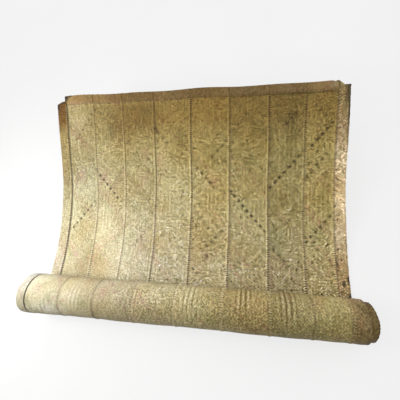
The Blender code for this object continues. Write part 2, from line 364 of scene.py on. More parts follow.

# Dark bits: frayed corners, a knot, stained nicks, and a band of painted shade down the right edge near the
# loose end
DARK_BITS = (
    # across, along, reach across, reach along, darkness
    (-0.351, 0.448, 0.004, 0.006, 0.9),
    (-0.497, 0.686, 0.004, 0.012, 1.0),
    (-0.461, 0.715, 0.01, 0.01, 0.95),
    (-0.449, 0.719, 0.012, 0.003, 0.8),
    (-0.474, 0.699, 0.006, 0.004, 0.85),
    (-0.115, 0.589, 0.005, 0.006, 0.9),
    (-0.106, 0.577, 0.004, 0.005, 0.6),
    (-0.345, 0.664, 0.004, 0.004, 0.6),
    (0.484, 0.093, 0.004, 0.007, 0.9),
    (0.497, 0.105, 0.003, 0.01, 0.9),
    (0.496, 0.055, 0.004, 0.012, 0.9),
    # A band of painted shade down the shaded side of the right edge
    (0.499, 0.62, 0.003, 0.07, 0.8),
    (0.496, 0.684, 0.012, 0.004, 0.8),
    (0.494, 0.66, 0.005, 0.03, 0.55),
    (0.075, 0.15, 0.004, 0.005, 0.6),
    (0.3, 0.64, 0.003, 0.004, 0.45),
    (0.33, 0.612, 0.003, 0.004, 0.35),
    (0.503, -0.195, 0.004, 0.007, 0.55),
    (0.492, -0.16, 0.003, 0.005, 0.5),
    (0.48, -0.215, 0.003, 0.005, 0.45),
    (0.471, 0.15, 0.002, 0.02, 0.5),
)

# Rows of faint dark dashes, which go on from the rows of eyelets
FAINT_ROWS = (
    # across, along, step across, step along, count, darkness
    (-0.115, 0.589, 0.0139, -0.0164, 4, 0.34),
    (0.2, 0.62, -0.0139, -0.0164, 4, 0.32),
    (0.443, 0.486, -0.0139, -0.0164, 5, 0.34),
    (0.021, 0.309, 0.0139, -0.0164, 5, 0.28),
    (-0.23, 0.47, -0.0139, -0.0164, 4, 0.22),
    (0.13, 0.47, 0.0139, -0.0164, 4, 0.3),
)
DASH_REACH = (0.0042, 0.0050)

# Whip stitches over the seams. Their shapes' rows are across from the seam, and above the cloth's back
STITCH_PITCH = 0.0067
STITCH_SIDES = 5
STITCH_HALF_WIDTH = 0.0010
STITCH_HALF_HEIGHT = 0.00045
STITCH_SLANT = 0.0022
STITCH_JITTER = 0.12
STITCH_LEAST_WIDTH = 0.85
STITCH_SPREAD = 0.3
BACK_WIDTH = 0.7
STITCH_END = 0.004
BORDER_END_GAP = 0.012
STITCH_FRONT_START = 0.005
STITCH_BACK_START = 0.16
ROLL_STITCHES = (-0.41, -0.012)
FRONT_STITCH = (
    (-0.0066, 0.0024),
    (-0.0052, 0.0044),
    (-0.0026, 0.0049),
    (-0.0004, 0.0044),
    (0.0012, 0.0031),
    (0.0038, 0.0025),
)
BACK_STITCH = (
    (-0.008, 0.0004),
    (-0.0062, -0.0005),
    (-0.0032, -0.0009),
    (-0.0008, -0.0005),
    (0.0006, 0.0003),
)

# The map for baking: upright columns for the fine sheet's two faces, one for the rest and one for edges
BAKE_COLUMNS = 10
FINE_COLUMNS = 4
WALL_CELLS = 8
WALL_MARGIN = 0.1
COLUMN_MARGIN = 0.03
BAKE_MARGIN = 0.01

# Colours, as they show on a screen from 0 to 255, and shades to multiply them by
LEAF_TONES = (
    # strand's tone, colour
    (0.0, (98, 84, 44)),
    (0.25, (166, 151, 92)),
    (0.5, (212, 197, 136)),
    (0.75, (236, 224, 168)),
    (1.0, (252, 246, 208)),
)
BORDER_TONES = (
    # strand's tone, colour
    (0.0, (110, 90, 62)),
    (0.3, (180, 162, 124)),
    (0.6, (224, 210, 174)),
    (1.0, (250, 240, 212)),
)
STITCH_TONES = (
    # noise, colour
    (0.3, (176, 152, 100)),
    (0.5, (216, 198, 142)),
    (0.7, (240, 226, 178)),
)
GREEN_LEAF = (140, 142, 84)
GREEN_SHARE = 0.42
PINK_LEAF = (192, 148, 116)
PINK_SHARE = 0.55
FIBRE_SHADES = ((0.25, 0.78), (0.75, 1.08))
FLECK_SHADES = ((0.37, 0.57), (0.63, 1.25))
GAP_PAINTED_SHADE = ((0.0, 0.20), (0.35, 0.64), (0.9, 0.98))
STAIN_TONES = ((0.30, (236, 226, 206)), (0.60, (255, 255, 255)))
# The colour that dirt and painted shade darken the leaf towards
DIRT_AND_SHADE_COLOUR = (38, 27, 12)
DARKNESS_GAMMA = 2.2

# Noises, each with its scale and detail, and the leaf's fibres and gloss
FIBRES = (1.0, 2.0)
FLECKS = (205.0, 1.0)
STAINS = (7.0, 4.0)
STITCH_PATCHES = (90.0, 3.0)
FLOOR_GRAIN = (3.0, 2.0)
FIBRE_STRETCH = (1600.0, 90.0, 1.0)
LEAF_ROUGHNESS = (0.46, 0.70)
LEAF_SPECULAR = 0.2
FIBRE_BUMP = 0.0003
BUMP_STRENGTH = 0.5
STITCH_ROUGHNESS = 0.6

# The floor and the light: a soft room, brighter from behind the mat, and a window at the left
FLOOR_SIZE = 14.0
FLOOR_DROP = 0.0005
FLOOR_SHADES = ((0.3, 0.105), (0.7, 0.115))
FLOOR_ROUGHNESS = 0.9
FLOOR_GLOW = 0.715
SKY_SHADES = ((0.10, 0.20), (0.50, 0.92))
SKY_FRONT_TO_BACK = (0.30, 1.70)
SKY_SEEN = 0.64
SKY_STRENGTH = 1.45
WINDOW_PLACE = (-0.82, 0.08, 0.64)
WINDOW_TARGET = (-0.2, 0.2, 0.0)
WINDOW_SIZE = 0.4
WINDOW_POWER = 9.8
WINDOW_COLOUR = (1.0, 0.985, 0.95)

# The camera, as the photograph was taken: a wide lens, from above the roll
CAMERA_PLACE = (0.2110, 0.0761, 0.8023)
CAMERA_TURN_DEG = (18.29, 11.32, 2.5)
FOCAL_PIXELS = 238.8
PHOTO_PIXELS = 400
SENSOR_WIDTH = 36.0
SHIFT = (-0.0015, 0.0041)

# X of the seams. The sheets are numbered from 0, the left border, to the last, the right border
SEAMS = [-MAT_WIDTH / 2 + LEFT_BORDER_WIDTH]
for strip_width in STRIP_WIDTHS:
    SEAMS.append(SEAMS[-1] + strip_width)
LAST = len(SEAMS)
STATIONS = np.array([-MAT_WIDTH / 2, *SEAMS, MAT_WIDTH / 2])


def looked_up(table, value):
    """A table's other columns at each value of its first, one row for each value."""
    columns = np.array(table).T
    return np.stack([np.interp(value, columns[0], column) for column in columns[1:]], axis=-1)


def smooth(value, low, high):
    """0 below low, 1 above high, and a soft rise between."""
    share = np.clip((value - low) / (high - low), 0, 1)
    return share * share * (3 - 2 * share)


def hashed(*keys):
    """A number from 0 to 1 for each set of whole numbers, the same each run."""
    total = 0.0
    for weight, key in zip((12.9898, 78.233, 37.719, 5.737), keys):
        total = total + weight * np.asarray(key, float)
    return (np.sin(total) * 43758.5453) % 1


def value_noise(u, v, seed):
    """Smooth noise from 0 to 1 over two coordinates."""
    left, low = np.floor(u), np.floor(v)
    across = smooth(u - left, 0, 1)
    up = smooth(v - low, 0, 1)
    bottom = hashed(left, low, seed) * (1 - across) + hashed(left + 1, low, seed) * across
    top = hashed(left, low + 1, seed) * (1 - across) + hashed(left + 1, low + 1, seed) * across
    return bottom * (1 - up) + top * up


def seam_at(number, length):
    """X of a seam, or of the mat's edge for number -1 and the last, where it wanders along the cloth."""
    wave = np.sin(math.tau * length / WANDER_LENGTH + WANDER_PHASE * number)
    return STATIONS[number + 1] + SEAM_WANDER * wave


def sheet_width(number):
    """Flat width of a strip or border, with what is tucked under the one on its left."""
    return STATIONS[number + 1] - STATIONS[number] + (LAP if number else 0.0)


def roll_radius(x):
    """The roll's outer radius, which falls evenly from left to right."""
    return ROLL_RADIUS_LEFT + (ROLL_RADIUS_RIGHT - ROLL_RADIUS_LEFT) * (x / MAT_WIDTH + 0.5)


def crown_at(x):
    """How far a strip bulges between its seams where it is wound."""
    number = np.clip(np.searchsorted(STATIONS, x) - 1, 0, len(STATIONS) - 2)
    left, right = STATIONS[number], STATIONS[number + 1]
    return STRIP_CROWN * np.sin(math.pi * np.clip((x - left) / (right - left), 0, 1)) ** 2


def loose_surface(x, length):
    """The back of the loose end: its Y, Z and slope."""
    angle = np.clip((length - FLAT_LENGTH) / CURL_RADIUS, 0, CURL_ANGLE)
    lip = np.maximum(length - FLAT_LENGTH - CURL_RADIUS * CURL_ANGLE, 0)
    y = np.minimum(length, FLAT_LENGTH) + CURL_RADIUS * np.sin(angle) + lip * math.cos(CURL_ANGLE)
    y = y + ROLL_SKEW * x * np.clip(1 - length / SKEW_FADE, 0, 1)
    grown = np.clip((length - LIFT_START) / LIFT_GROWTH, 0, 1)
    lift = LIFT_WAVE * grown * np.sin(math.tau * x / LIFT_WAVE_LENGTH + LIFT_WAVE_PHASE)
    z = CURL_RADIUS * (1 - np.cos(angle)) + lip * math.sin(CURL_ANGLE) + lift
    return y, z, angle


def wound_surface(x, depth):
    """The back of the wound cloth: its X, Y, Z and turn, on a spiral with its turns slid to the right."""
    outer = roll_radius(x)
    pitch = math.pi * (outer**2 - CORE_RADIUS**2) / WOUND_LENGTH
    radius = np.sqrt(outer**2 - pitch * depth / math.pi)
    turn = math.tau * (outer - radius) / pitch
    swell = crown_at(x) + UNEVEN * np.sin(math.tau * x / UNEVEN_LENGTH + 2 * turn)
    radius = radius + swell * np.clip(depth / SWELL_GROWTH, 0, 1)
    y = ROLL_SKEW * x - radius * np.sin(turn)
    z = np.maximum(outer - FLAT_SINK - radius * np.cos(turn), 0)
    return x + looked_up(SLIDE, turn / math.tau)[..., 0], y, z, turn


def cloth_points(x, length, height):
    """Points on the cloth, height above its back towards its front."""
    x, length, height = np.broadcast_arrays(x, length, height)
    loose_y, loose_z, slope = loose_surface(x, np.maximum(length, 0))
    wound_x, wound_y, wound_z, turn = wound_surface(x, np.maximum(-length, 0))
    wound = length < 0
    y = np.where(wound, wound_y, loose_y) + height * np.where(wound, np.sin(turn), -np.sin(slope))
    z = np.where(wound, wound_z, loose_z) + height * np.where(wound, np.cos(turn), np.cos(slope))
    return np.stack([np.where(wound, wound_x, x), y, np.maximum(z, FLOOR_CLEARANCE)], axis=-1)


def cloth_end(number, x):
    """Length at which a strip or border ends."""
    if number == 0:
        across = (x + MAT_WIDTH / 2) / LEFT_BORDER_WIDTH
        return LEFT_BORDER_END - LEFT_BORDER_CHIP * (1 - across)
    if number == LAST:
        across = (x - SEAMS[-1]) / (MAT_WIDTH / 2 - SEAMS[-1])
        return RIGHT_BORDER_END + RIGHT_BORDER_STEP * np.clip(1 - 2 * across, 0, 1)
    corner = HEM_CORNER * np.clip((x - CORNER_START) / (SEAMS[-1] - CORNER_START), 0, 1) ** 2
    return LOOSE_LENGTH + LOOSE_SLANT * x + END_WAVE * np.sin(math.tau * x / END_WAVE_LENGTH) - corner


def leans_right(cell_a, cell_b, number):
    """Whether the strand that leans right is on top at each crossing: rings of twill about spread centres."""
    across = cell_a + cell_b + RING_SHIFT[0] * number
    along = cell_a - cell_b + RING_SHIFT[1] * number
    warp = value_noise(across / WARP_LENGTH[0], along / WARP_LENGTH[1], number)
    along = along + np.floor(RING_WARP * warp)
    from_middle = np.abs((across + RING_ACROSS / 2) % RING_ACROSS - RING_ACROSS / 2)
    from_centre = np.abs((along + RING_ALONG / 2) % RING_ALONG - RING_ALONG / 2)
    return np.maximum(from_middle, from_centre - (RING_ALONG - RING_ACROSS) / 2) % 4 < 2


def plait_height(a, b, number, front):
    """Height from 0 to 1 of one face of the plait at lattice vertices: floats stand up, gaps lie low."""
    def on_top(cell_a, cell_b):
        return leans_right(cell_a, cell_b, number) == front

    cell_a, cell_b = a // 2, b // 2
    here = on_top(cell_a, cell_b)
    below = on_top(cell_a, cell_b - 1)
    before = on_top(cell_a - 1, cell_b)
    height = np.zeros(a.shape)
    middle = (a % 2 == 1) & (b % 2 == 1)
    beside_b = (a % 2 == 1) & (b % 2 == 0)
    beside_a = (a % 2 == 0) & (b % 2 == 1)
    height[middle] = 1.0
    on_b = np.where(here, SIDE_HEIGHT, FLOAT_HEIGHT)
    on_a = np.where(here, FLOAT_HEIGHT, SIDE_HEIGHT)
    height[beside_b] = np.where(here == below, on_b, GAP_HEIGHT)[beside_b]
    height[beside_a] = np.where(here == before, on_a, GAP_HEIGHT)[beside_a]
    return height


def leaf_contrast(number, x, length):
    """How much the leaves differ at each place, as a multiple of their spread."""
    # Calmer at the lower left, where the window's highlight is painted in
    highlit = (1 - smooth(x, *HIGHLIGHT_ACROSS)) * (1 - smooth(length, *HIGHLIGHT_ALONG))
    spread = (CONTRAST - highlit) * (1 - END_CALM * smooth(length, *END_CALM_ALONG))
    loose = BORDER_CONTRAST if number in (0, LAST) else 1.0
    return spread * np.where(length < 0, ROLL_CONTRAST, loose)


def nearness(x, length, place, power):
    """1 at a place, falling to 0 past its reaches. A place is across, along, reach across, reach along."""
    across, along, reach_across, reach_along = place
    return np.exp(-(((x - across) / reach_across) ** power) - ((length - along) / reach_along) ** power)


def leaf_colours(cell_a, cell_b, right, x, length, strands, number):
    """Tone, green and pink of the strand on top. A strand turns back at each edge, so it leans both ways."""
    strand = np.where(right, cell_b % strands, (strands - 1 - cell_a) % strands)
    splice = np.floor(length / SPLICE_LENGTH + hashed(strand, number))
    own = hashed(strand, splice, number + 20)
    nearby = value_noise(strand / NEARBY_SIZE[0], length / NEARBY_SIZE[1], number + 40)
    speckle = hashed(cell_a, cell_b, number + 60)
    spots = SPOT_TONE * (speckle > SPOT_SHARES[1]) - SPOT_TONE * (speckle < SPOT_SHARES[0])
    spread = STRAND_SPREAD * (own - 0.5) + CROSSING_SPREAD * (speckle - 0.5) + NEARBY_SPREAD * (nearby - 0.5)
    spread = spread + spots
    ribs = np.zeros(len(x))
    ribbed = np.zeros(len(x))
    for *place, strength in RIBS:
        near = nearness(x, length, place, 4)
        ribs = ribs + strength * near * np.cos(math.tau * (x - place[0]) / RIB_PITCH)
        ribbed = np.maximum(ribbed, near)
    tone = 0.5 + leaf_contrast(number, x, length) * spread * (1 - RIB_CALM * ribbed) + ribs
    greens = value_noise(strand / GREEN_SIZE[0], length / GREEN_SIZE[1], number + 80)
    pinks = value_noise(strand / PINK_SIZE[0] + PINK_SHIFT, length / PINK_SIZE[1], number + 100)
    green = smooth(greens, *GREEN_BAND)
    pink = smooth(pinks, *PINK_BAND)
    for *place, lighter, greener, pinker in PATCHES:
        near = nearness(x, length, place, 2)
        tinged = near * (PATCH_LEAST + PATCH_SPREAD * own)
        tone = tone + lighter * near
        green = green + greener * tinged
        pink = pink + pinker * tinged
    return np.stack([tone, np.clip(green, 0, MOST_TINGE), np.clip(pink, 0, MOST_TINGE)], axis=-1)


def cloth_tint(number, x, length, hem):
    """What the leaf's colour is multiplied by: paler and bluer on the left and near the roll, a painted
    highlight, brown towards the loose end, and on the roll darker on its lower front side and at its right
    end, painted shade.
    """
    browned = smooth(length, *BROWNED_ALONG)[:, None]
    across = 1 + (looked_up(ACROSS_HIGHLIGHT_TINT, x) - 1) * (1 - BROWN_EVENNESS * browned)
    on_roll = looked_up(ROLL_TONE_AND_SHADE, length) * looked_up(ROLL_ACROSS_HIGHLIGHT_AND_SHADE, x)
    across = across * np.where(length[:, None] < 0, on_roll, 1.0)
    if number == 0:
        return across * looked_up(LEFT_BORDER_TINT, length)
    if number == LAST:
        return across * looked_up(RIGHT_BORDER_TINT, length)
    share = LESS_BROWN + (1 - LESS_BROWN) * smooth(x, *LESS_BROWN_TO)[:, None]
    along = 1 + (looked_up(STRIP_TINT, length) - 1) * share
    hemmed = 1 + (looked_up(HEM_TINT, x) - 1) * hem[:, None]
    return across * STRIP_SHADES[number - 1] * along * hemmed


def lattice(columns, rows):
    """A diamond lattice: its vertices' columns and rows, and its faces' corners, with -1 past an edge."""
    i, j = np.indices((columns + 1, rows + 1))
    real = (i + j) % 2 == 0
    index = np.full((columns + 3, rows + 3), -1)
    index[1:-1, 1:-1][real] = np.arange(real.sum())
    face_i, face_j = i[~real], j[~real]
    around = ((0, 1), (1, 2), (2, 1), (1, 0))
    corners = np.stack([index[face_i + right, face_j + up] for right, up in around], axis=-1)
    return i[real], j[real], face_i, face_j, corners


def sheet_places(number, across, down, top, bottom):
    """Cloth coordinates of places on a stretch of a strip, given by their shares across and down it."""
    length = top + (bottom - top) * down
    left = seam_at(number - 1, length) - (LAP if number else 0.0)
    x = left + (seam_at(number, length) - left) * across
    if top > 0:
        length = length + (cloth_end(number, x) - top) * smooth(length, top - END_STRETCH, top)
    return x, length


def shape_eyelets(number, i, j, x, length, half_column, half_row, top):
    """Draw the vertices round each eyelet together: their new places, a pit's floor, and the darkness, which
    is painted shade.
    """
    floor = np.zeros(len(x), bool)
    dark = np.zeros(len(x))
    for strip, across, along, step_across, step_along, count, darkness in EYELET_ROWS:
        if strip != number:
            continue
        start_i = 2 * round((across + LAP) / half_column / 2)
        start_j = 2 * round((top - along) / half_row / 2)
        if (start_i + start_j) // 2 % 2:
            start_j += 2
        for index in range(count):
            off_i = i - start_i - index * step_across * EYELET_STEP
            off_j = j - start_j + index * step_along * EYELET_STEP
            away = np.abs(off_i) + np.abs(off_j)
            ring = away == 2
            reach = np.where((off_i == 0) | (off_j == 0), 1.0, EYELET_ROUNDING)
            drawn_x = x - off_i * half_column + np.sign(off_i) * reach * EYELET_WIDTH / 2
            drawn_length = length + off_j * half_row - np.sign(off_j) * reach * EYELET_HEIGHT / 2
            x = np.where(ring, drawn_x, x)
            length = np.where(ring, drawn_length, length)
            floor |= away == 0
            along_row = (off_i * step_across - off_j * step_along) / 2
            beside_row = (off_i * step_across + off_j * step_along) / 2
            from_middle = np.hypot(along_row / EYELET_SHADE_REACH[0], beside_row / EYELET_SHADE_REACH[1])
            faded = darkness * (1 - EYELET_FADE * index / count)
            dark = np.maximum(dark, faded * (1 - smooth(from_middle, *EYELET_SHADE_EDGE)))
    return x, length, floor, dark


def tooth_edges(number, i, j, columns, x, length):
    """Small teeth where the strands turn back at the mat's outer edges and at its loose end."""
    height = EDGE_TOOTH * (hashed(i, j, number) - EDGE_TOOTH_MIDDLE)
    out = height * np.where(j // 2 % 2, 1.0, EDGE_TOOTH_BETWEEN)
    if number == 0:
        x = np.where(i == 0, x - out, x)
    if number == LAST:
        x = np.where(i == columns, x + out, x)
    uneven = END_TOOTH * (1 - smooth(x, *END_ACROSS))
    uneven = uneven + CORNER_TOOTH * (1 - smooth(x, *CORNER_ACROSS))
    end_teeth = uneven * (hashed(i, number) - END_TOOTH_MIDDLE) * (i // 2 % 2)
    return x, length + np.where(j == 0, end_teeth, 0.0)


def bit_darkness(x, length):
    """Darkness of the dark bits and of the faint dashes."""
    dirt_and_shade = np.zeros(len(x))
    for *place, darkness in DARK_BITS:
        dirt_and_shade = np.maximum(dirt_and_shade, darkness * nearness(x, length, place, 2))
    for across, along, step_across, step_along, count, darkness in FAINT_ROWS:
        for index in range(count):
            place = (across + index * step_across, along + index * step_along, *DASH_REACH)
            dirt_and_shade = np.maximum(dirt_and_shade, darkness * nearness(x, length, place, 2))
    return dirt_and_shade


def seam_dirt_and_shade(number, from_left, from_right, length, hem):
    """Darkness of the seams beside a strip, on its front and on its back: dirt together with painted shade in
    the laps.
    """
    front = np.zeros(len(from_left))
    back = np.zeros(len(from_left))
    if number > 0:
        on_front, on_back = SEAM_LOOKS[number - 1][:2]
        front = on_front * (1 - smooth(from_left, LAP + SEAM_DIRT_AND_SHADE[0], LAP + SEAM_DIRT_AND_SHADE[1]))
        back = on_back * (1 - smooth(from_left, *BEHIND_LEFT_DIRT_AND_SHADE))
    if number < LAST:
        on_front, on_back = SEAM_LOOKS[number][:2]
        from_line = np.abs(from_right - LAP - BEHIND_OFFSET)
        front = np.maximum(front, on_front * smooth(-from_right, -EDGE_DIRT_AND_SHADE, 0.0))
        back = np.maximum(back, on_back * (1 - smooth(from_line, *BEHIND_DIRT_AND_SHADE)))
    if number > 1:
        front = front * (1 - PALE_SEAM * smooth(length, *PALE_SEAM_ALONG))
    return front * (1 - hem), back


def hem_form(number, x, length):
    """Share of the hem at each place, and the darkness of its lower edge, which is painted shade."""
    waver = HEM_WAVER * (value_noise(x / HEM_WAVER_LENGTH, 0 * x, 5) - 0.5)
    start = cloth_end(number, x) - HEM_WIDTH + waver
    line = HEM_LINE_SHADE * (1 - smooth(np.abs(length - start), *HEM_LINE))
    return smooth(length, start, start + HEM_STEP), line


def seam_form(number, from_left, from_right, length, thick):
    """How far the sheet is lifted at its seams, and its thickness with its rounded and tucked edges."""
    lift = np.zeros(len(length))
    if number < LAST:
        rise = SEAM_LOOKS[number][2]
        lift = RIDGE_RISE * rise * smooth(-from_right, -RIDGE_WIDTH, -RIDGE_WIDTH + RIDGE_SHOULDER)
        thick = thick * (1 - EDGE_ROUNDING * rise * smooth(-from_right, -ROUNDING_WIDTH, 0.0))
    if number > 0:
        rise = SEAM_LOOKS[number - 1][2]
        free = LAP - CLOSED_GROOVE * (1 - rise)
        under = 1 - smooth(from_left, free, free + TUCK_SLOPE)
        on_roll = smooth(-length, *ROLL_TUCK_RISE)
        raised = np.where(length < 0, on_roll, smooth(length, *LOOSE_TUCK_RISE))
        lift = lift - TUCK_SWELL * under * raised
        thick = thick * (1 - (1 - TUCKED_SHARE * rise) * under)
    return lift, thick


def closed_faces(corners, count):
    """Faces of the front, the back and the edges of a sheet whose back repeats its count of vertices."""
    front = [[int(corner) for corner in face if corner >= 0] for face in corners]
    edges = set()
    for face in front:
        edges.update(zip(face, face[1:] + face[:1]))
    outline = sorted((start, end) for start, end in edges if (end, start) not in edges)
    walls = [[end, start, start + count, end + count] for start, end in outline]
    back = [[corner + count for corner in reversed(face)] for face in front]
    return front, back, walls


def sheet_part(number, top, bottom, coarseness):
    """One stretch of a strip or border as a closed sheet with its plait in relief, for join_parts."""
    border = number in (0, LAST)
    fine = coarseness == 1
    width = sheet_width(number)
    columns = 2 * round(width / CELL_X / coarseness)
    rows = 2 * round((top - bottom) / CELL_Y / coarseness)
    i, j, face_i, face_j, corners = lattice(columns, rows)
    count = len(i)
    x, length = sheet_places(number, i / columns, j / rows, top, bottom)
    from_left = width * i / columns
    from_right = width - from_left

    pit_floor = np.zeros(count, bool)
    # Painted shade in and round the eyelets
    eyelet_shade = np.zeros(count)
    if fine and not border:
        half_cell = (width / columns, (top - bottom) / rows)
        x, length, pit_floor, eyelet_shade = shape_eyelets(number, i, j, x, length, *half_cell, top)
    if top > 0:
        x, length = tooth_edges(number, i, j, columns, x, length)

    hem = np.zeros(count)
    hem_line = np.zeros(count)
    thick = np.full(count, BORDER_THICKNESS)
    if not border:
        hem, hem_line = hem_form(number, x, length)
        thick = THICKNESS + (HEM_THICKNESS - THICKNESS) * hem
    lift, thick = seam_form(number, from_left, from_right, length, thick)
    a, b = (i + j) // 2, (i - j) // 2
    front_height = plait_height(a, b, number, True)
    back_height = plait_height(a, b, number, False)
    relief = RELIEF if fine else 0.0
    sunk = EYELET_SINK * thick * pit_floor
    front_relief = relief * (1 - front_height) * ~pit_floor
    back_relief = BACK_RELIEF_SHARE * relief * (1 - back_height) * ~pit_floor
    front = cloth_points(x, length, lift + thick - front_relief - sunk)
    back = cloth_points(x, length, lift + back_relief + EYELET_BACK_SINK * sunk)

    cell_a, cell_b = np.floor((face_i + face_j) / 4), np.floor((face_i - face_j) / 4)
    face_x, face_length = sheet_places(number, face_i / columns, face_j / rows, top, bottom)
    right_on_front = leans_right(cell_a, cell_b, number)
    strands = columns // 2
    front_leaf = leaf_colours(cell_a, cell_b, right_on_front, face_x, face_length, strands, number)
    back_leaf = leaf_colours(cell_a, cell_b, ~right_on_front, face_x, face_length, strands, number)
    front_faces, back_faces, walls = closed_faces(corners, count)

    front_dirt_and_shade, back_dirt_and_shade = seam_dirt_and_shade(number, from_left, from_right, length, hem)
    spots = np.maximum(bit_darkness(x, length), eyelet_shade)
    dirt_and_shade = np.concatenate([np.maximum(front_dirt_and_shade, hem_line), back_dirt_and_shade])
    shown = leaf_contrast(number, x, length) * (1 - HEM_SMOOTHNESS * hem)
    # How low the plait lies, which the material darkens as painted shade in the gaps
    low = np.concatenate([(1 - front_height) * shown, (1 - back_height) * shown])
    roll_grain = ROLL_GRAIN * (1 - CALM_GRAIN * smooth(x, *CALM_ACROSS))
    tint = cloth_tint(number, x, length, hem)
    # A painted highlight along the ridge's raised top, in front only
    highlighted = np.ones(count)
    if number < LAST:
        ridge = SEAM_LOOKS[number][2] * (1 - smooth(from_right, *RIDGE_LIGHT))
        highlighted = 1 + RIDGE_PAINTED_HIGHLIGHT * ridge
    return {
        "points": np.concatenate([front, back]),
        "faces": front_faces + back_faces + walls,
        "kinds": [0] * len(front_faces) + [1] * len(back_faces) + [2] * len(walls),
        "leaf": np.concatenate([front_leaf, back_leaf, np.tile(WALL_LEAF, (len(walls), 1))]),
        "lean": np.concatenate([right_on_front, ~right_on_front, np.ones(len(walls), bool)]) * 2.0 - 1,
        "relief": np.maximum(1 - low, 0),
        "dirt_and_shade": np.maximum(dirt_and_shade, np.tile(spots, 2)),
        "grain": np.tile(np.clip(shown * np.where(length < 0, roll_grain, 1.0), 0.0, 1.0), 2),
        "tint": np.concatenate([tint * highlighted[:, None], tint]),
        "across": np.tile(i / columns, 2),
        "cloth_x": np.tile(x, 2),
        "cloth_y": np.tile(length, 2),
        "down": np.tile((top - length) / (top - bottom), 2),
    }


def bake_places(parts):
    """A UV place for every face corner, in upright columns, without overlaps."""
    places = []
    walls = sum(kind == 2 for part in parts for kind in part["kinds"])
    wall_rows = math.ceil(walls / WALL_CELLS)
    wall_index = 0
    near, far = WALL_MARGIN, 1 - WALL_MARGIN
    for order, part in enumerate(parts):
        down = part["down"]
        for face, kind in zip(part["faces"], part["kinds"]):
            if kind == 2:
                row, column = divmod(wall_index, WALL_CELLS)
                wall_index += 1
                for across, up in ((near, near), (far, near), (far, far), (near, far)):
                    u = BAKE_COLUMNS - 1 + (column + across) / WALL_CELLS
                    places.append((u / BAKE_COLUMNS, (row + up) / wall_rows))
                continue
            centre = sum(down[corner] for corner in face) / len(face)
            stretch = int(min(max(centre, 0.0), 0.9999) * FINE_COLUMNS)
            if order == 0:
                column = stretch + FINE_COLUMNS * kind
                low, size, width, shift = stretch / FINE_COLUMNS, 1 / FINE_COLUMNS, 1.0, 0.0
            else:
                column = 2 * FINE_COLUMNS
                low, size, width, shift = 0.0, 1.0, 0.5, 0.5 * kind
            for corner in face:
                along = min(max((down[corner] - low) / size, -BAKE_MARGIN), 1 + BAKE_MARGIN)
                across = shift + width * (COLUMN_MARGIN + (1 - 2 * COLUMN_MARGIN) * part["across"][corner])
                up = BAKE_MARGIN + (1 - 2 * BAKE_MARGIN) * along
                places.append(((column + across) / BAKE_COLUMNS, up))
    return np.array(places)


def set_attribute(mesh, name, kind, domain, values):
    attribute = mesh.attributes.new(name, kind, domain)
    field = "vector" if kind == "FLOAT_VECTOR" else "value"
    attribute.data.foreach_set(field, np.asarray(values, np.float32).ravel())


def new_piece(name, points, faces, material):
    """A smooth-shaded mesh object in the scene."""
    mesh = bpy.data.meshes.new(name)
    mesh.from_pydata(points, [], faces)
    mesh.materials.append(material)
    mesh.shade_smooth()
    piece = bpy.data.objects.new(name, mesh)
    bpy.context.scene.collection.objects.link(piece)
    return piece


def join_parts(name, parts, material):
    """One piece from the stretches of one strip, with the attributes and maps that its material reads."""
    def joined(field):
        return np.concatenate([part[field] for part in parts])

    faces = []
    start = 0
    for part in parts:
        faces += [[corner + start for corner in face] for face in part["faces"]]
        start += len(part["points"])
    piece = new_piece(name, joined("points"), faces, material)
    mesh = piece.data
    set_attribute(mesh, "leaf", "FLOAT_VECTOR", "FACE", joined("leaf"))
    set_attribute(mesh, "lean", "FLOAT", "FACE", joined("lean"))
    set_attribute(mesh, "tint", "FLOAT_VECTOR", "POINT", joined("tint"))
    for field in ("relief", "dirt_and_shade", "grain"):
        set_attribute(mesh, field, "FLOAT", "POINT", joined(field))
    corner_vertex = np.zeros(len(mesh.loops), int)
    mesh.loops.foreach_get("vertex_index", corner_vertex)
    cloth = np.stack([joined("cloth_x"), joined("cloth_y")], axis=-1)[corner_vertex]
    for layer, places in (("OFBake", bake_places(parts)), ("Cloth", cloth)):
        mesh.uv_layers.new(name=layer).data.foreach_set("uv", places.astype(np.float32).ravel())
    return piece


def linear(red, green, blue):
    """A colour given as it shows on a screen, from 0 to 255, as the shader takes it."""
    shares = [value / 255 for value in (red, green, blue)]
    return (*[s / 12.92 if s <= 0.04045 else ((s + 0.055) / 1.055) ** 2.4 for s in shares], 1.0)


def grey(value):
    return (value, value, value, 1.0)


def add_node(tree, kind, inputs=None, **settings):
    """A shader node with its settings, its plain inputs and its linked inputs."""
    made = tree.nodes.new(kind)
    for name, value in settings.items():
        setattr(made, name, value)
    for socket, value in (inputs or {}).items():
        if isinstance(value, bpy.types.NodeSocket):
            tree.links.new(value, made.inputs[socket])
        else:
            made.inputs[socket].default_value = value
    return made


def math_node(tree, operation, *values):
    return add_node(tree, "ShaderNodeMath", dict(enumerate(values)), operation=operation).outputs[0]


def noise_node(tree, where, size, dimensions):
    inputs = {"Vector": where, "Scale": size[0], "Detail": size[1]}
    return add_node(tree, "ShaderNodeTexNoise", inputs, noise_dimensions=dimensions).outputs["Fac"]


def ramp_node(tree, factor, stops):
    """A ramp over stops of a position with a screen colour, or with a plain shade."""
    made = add_node(tree, "ShaderNodeValToRGB", {"Fac": factor})
    elements = made.color_ramp.elements
    while len(elements) < len(stops):
        elements.new(0.5)
    for element, (position, colour) in zip(elements, stops):
        element.position = position
        element.color = linear(*colour) if isinstance(colour, tuple) else grey(colour)
    return made.outputs["Color"]


def mix_colours(tree, blend, factor, first, second):
    """A Mix node for colours, whose colours are its sockets 6 and 7 and its output 2."""
    inputs = {0: factor, 6: first, 7: second}
    return add_node(tree, "ShaderNodeMix", inputs, data_type="RGBA", blend_type=blend).outputs[2]


def attribute_node(tree, name):
    return add_node(tree, "ShaderNodeAttribute", attribute_name=name)


def new_material(name):
    """A material with its node tree and its surface shader."""
    material = bpy.data.materials.new(name)
    material.use_nodes = True
    return material, material.node_tree, material.node_tree.nodes["Principled BSDF"]


